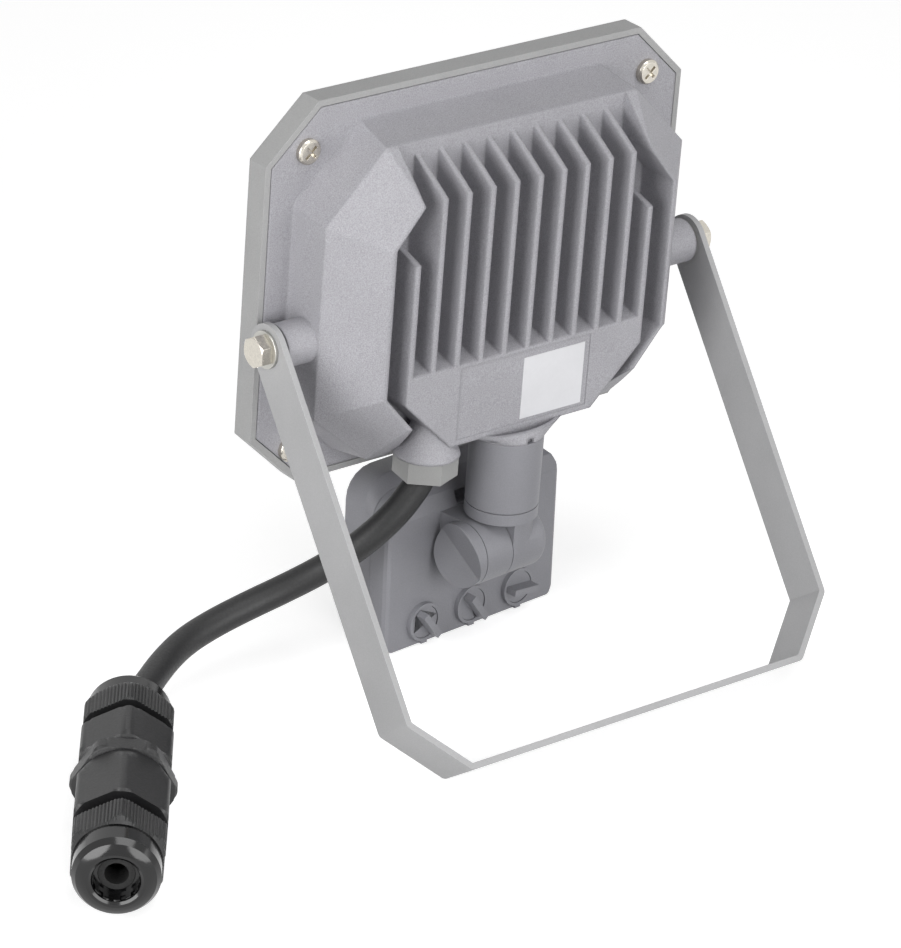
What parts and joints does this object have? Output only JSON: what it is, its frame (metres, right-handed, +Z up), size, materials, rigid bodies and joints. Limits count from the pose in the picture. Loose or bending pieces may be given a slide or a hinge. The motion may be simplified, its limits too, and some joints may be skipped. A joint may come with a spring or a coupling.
{
  "type": "motion sensor led light",
  "caption": "Small LED floodlight with a finned housing, a swing bracket, a motion sensor on a swivelling neck under it and a short lead with a cable connector.",
  "frame": {"origin": "centre of the footprint of the light without its lead, on the surface it stands on", "axes": "+X towards the side the lead leaves from, +Y out of the cooling fins (the light shines towards -Y), +Z up"},
  "size_m": [0.2626, 0.1175, 0.1636],
  "materials": {
    "housing": "die-cast aluminium, powder coated, fine sparkle grain",
    "frame": "die-cast aluminium, powder coated, satin",
    "bracket_coat": "steel strip, powder coated, satin",
    "gland_plastic": "moulded, satin",
    "sensor_plastic": "moulded, fine matte",
    "lens_plastic": "milky polyethylene",
    "glass": "tempered, clear",
    "steel": "nickel plated",
    "washer_steel": "zinc plated",
    "seal_rubber": "matte",
    "reflector_white": "white",
    "board": "white solder mask",
    "green_board": "green solder mask",
    "phosphor": "silicone over chips",
    "components": "moulded",
    "detector_can": "plated can",
    "label": "plain white film",
    "cable_jacket": "matte black",
    "connector_nylon": "moulded nylon",
    "insert_plastic": "moulded"
  },
  "bodies": {
    "bracket": {"mounting_bracket": "bracket_coat"},
    "head": {"rear_housing": "housing", "front_bezel": "frame", "front_glass": "glass", "glass_seal": "seal_rubber", "housing_gasket": "seal_rubber", "reflector": "reflector_white", "led_board": "board", "led_chips": "phosphor", "led_screws": "steel", "cover_screws": "steel", "blank_sticker": "label", "driver_board": "green_board", "driver_parts": "components", "gland_nut": "gland_plastic", "gland_seal": "seal_rubber", "neck_sleeve": "sensor_plastic", "pivot_bolts": "steel", "boss_washers": "washer_steel", "head_washers": "washer_steel", "supply_cable": "cable_jacket", "rear_cap_nut": "connector_nylon", "front_cap_nut": "connector_nylon", "connector_rear_body": "connector_nylon", "connector_front_body": "connector_nylon", "rear_seal": "seal_rubber", "front_seal": "seal_rubber", "connector_o_ring": "seal_rubber", "terminal_insert": "insert_plastic"},
    "swivel": {"swivel_knuckle": "sensor_plastic", "swivel_nut": "washer_steel", "lock_nut": "steel"},
    "sensor": {"sensor_back_shell": "sensor_plastic", "sensor_front_shell": "sensor_plastic", "sensor_lens": "lens_plastic", "sensor_board": "green_board", "infrared_eye": "detector_can", "sensor_relay": "components", "adjuster_pots": "components"},
    "knob": {"lock_knob": "sensor_plastic"},
    "lux_dial": {"lux_adjuster": "sensor_plastic"},
    "time_dial": {"time_adjuster": "sensor_plastic"},
    "range_dial": {"range_adjuster": "sensor_plastic"}
  },
  "joints": [
    {"name": "head_tilt", "type": "hinge", "parent": "bracket", "child": "head", "pos_m": [0, -0.02751, 0.09985], "axis": [1, 0, 0], "range_deg": [-150, 30]},
    {"name": "sensor_pan", "type": "hinge", "parent": "head", "child": "swivel", "pos_m": [0, -0.01165, 0.04901], "axis": [0, -0.0384, 0.9993], "range_deg": [-44.7, 9.5]},
    {"name": "sensor_tilt", "type": "hinge", "parent": "swivel", "child": "sensor", "pos_m": [0, -0.01093, 0.03033], "axis": [0.9966, 0.0819, 0.0031], "range_deg": [0, 40]},
    {"name": "lock_knob_turn", "type": "hinge", "parent": "sensor", "child": "knob", "pos_m": [0, -0.01093, 0.03033], "axis": [0.9966, 0.0819, 0.0031], "range_deg": [0, 180]},
    {"name": "lux_turn", "type": "hinge", "parent": "sensor", "child": "lux_dial", "pos_m": [0.0187, -0.01656, 0.00694], "axis": [-0.0819, 0.9934, 0.0801], "range_deg": [-135, 135]},
    {"name": "time_turn", "type": "hinge", "parent": "sensor", "child": "time_dial", "pos_m": [0.00066, -0.01804, 0.00688], "axis": [-0.0819, 0.9934, 0.0801], "range_deg": [-135, 135]},
    {"name": "range_turn", "type": "hinge", "parent": "sensor", "child": "range_dial", "pos_m": [-0.01738, -0.01953, 0.00682], "axis": [-0.0819, 0.9934, 0.0801], "range_deg": [-135, 135]}
  ]
}
